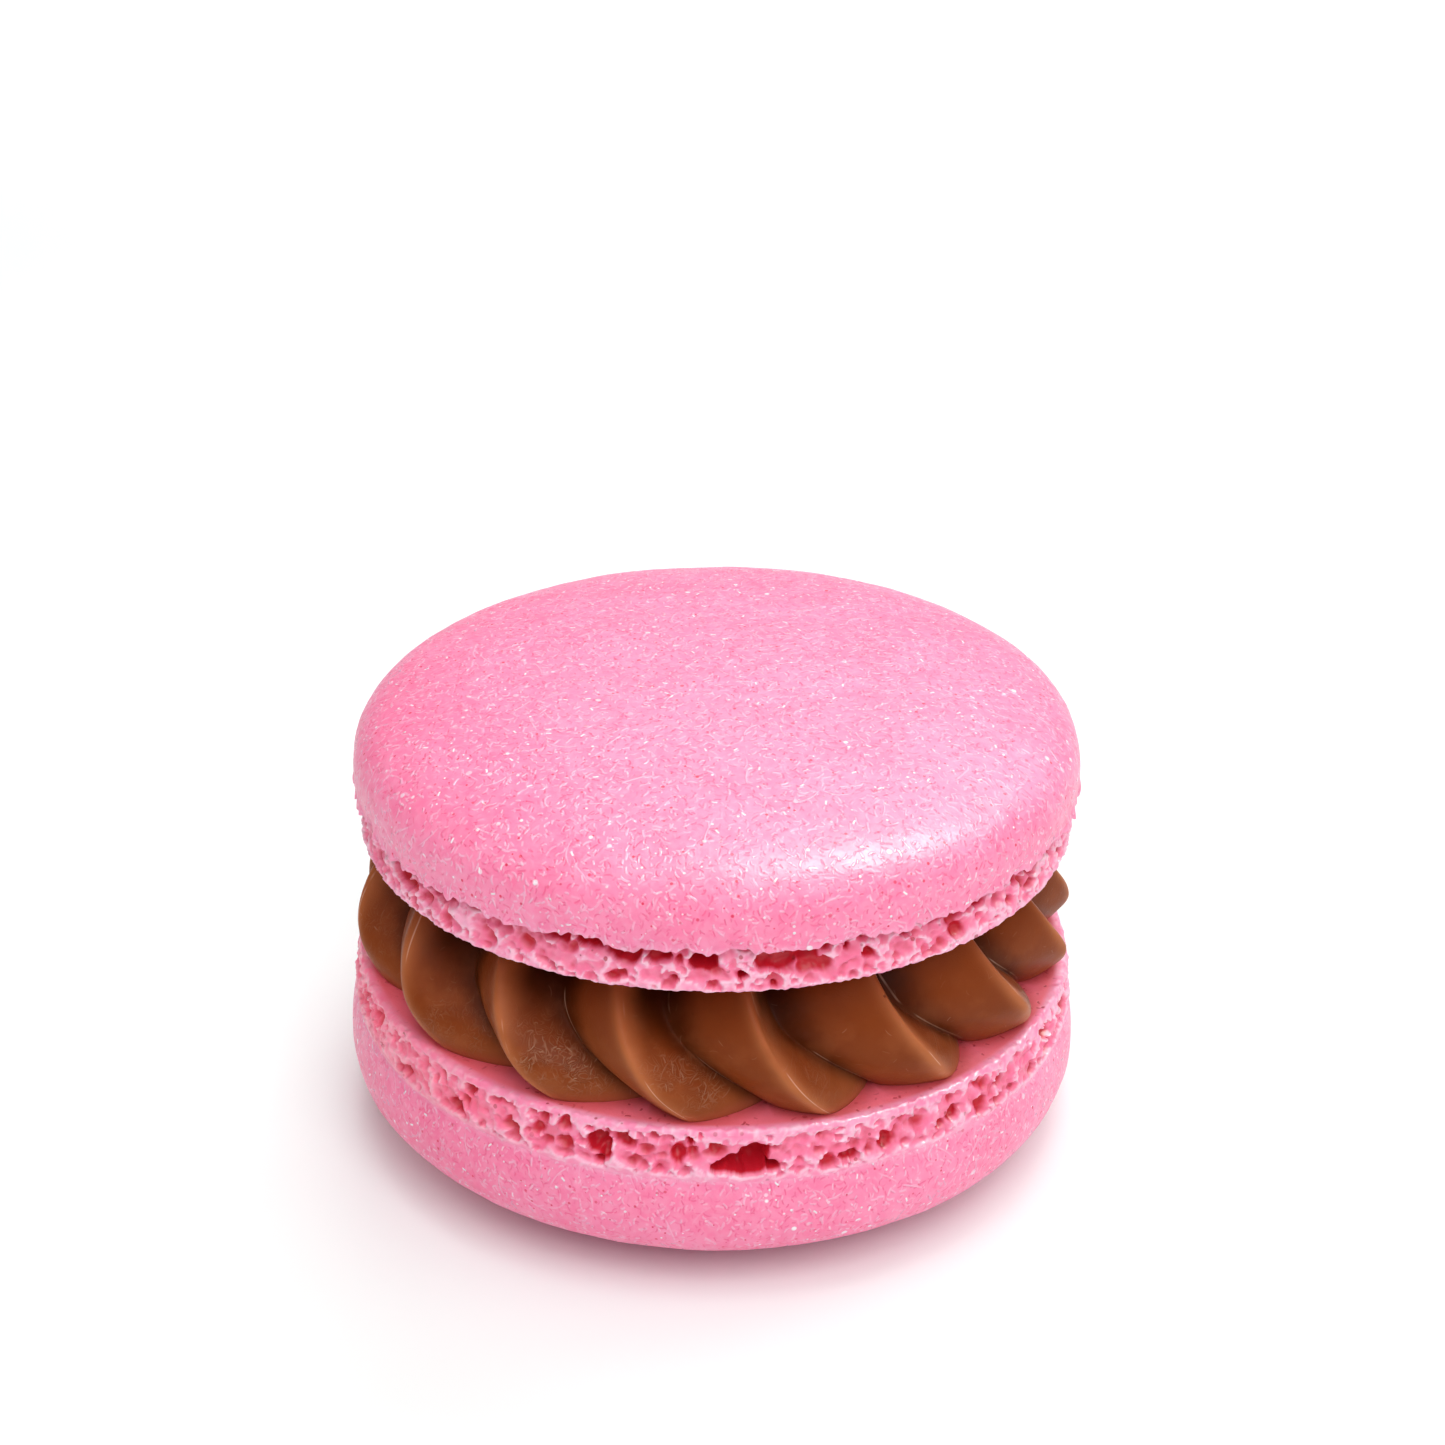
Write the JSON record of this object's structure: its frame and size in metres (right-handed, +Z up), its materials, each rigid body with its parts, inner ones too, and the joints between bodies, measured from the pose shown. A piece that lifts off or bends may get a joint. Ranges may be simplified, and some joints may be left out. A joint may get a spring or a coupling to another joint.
{
  "type": "french macaron",
  "caption": "Round sandwich biscuit with domed pink meringue shells, porous ruffled feet and a swirl-piped chocolate filling.",
  "frame": {"origin": "middle of the bounding box at the flat spot that the macaron rests on", "axes": "+Z up, the front that shows the largest cavity of the lower foot faces -Y, +X to the right"},
  "size_m": [0.0481, 0.048, 0.0311],
  "materials": {
    "meringue": "satin-matte pink almond meringue, with a porous crumb at the feet",
    "chocolate_cream": "smooth, slightly waxy milk-chocolate ganache"
  },
  "bodies": {
    "root": {"upper_shell": "meringue", "filling": "chocolate_cream", "lower_shell": "meringue"}
  },
  "joints": []
}
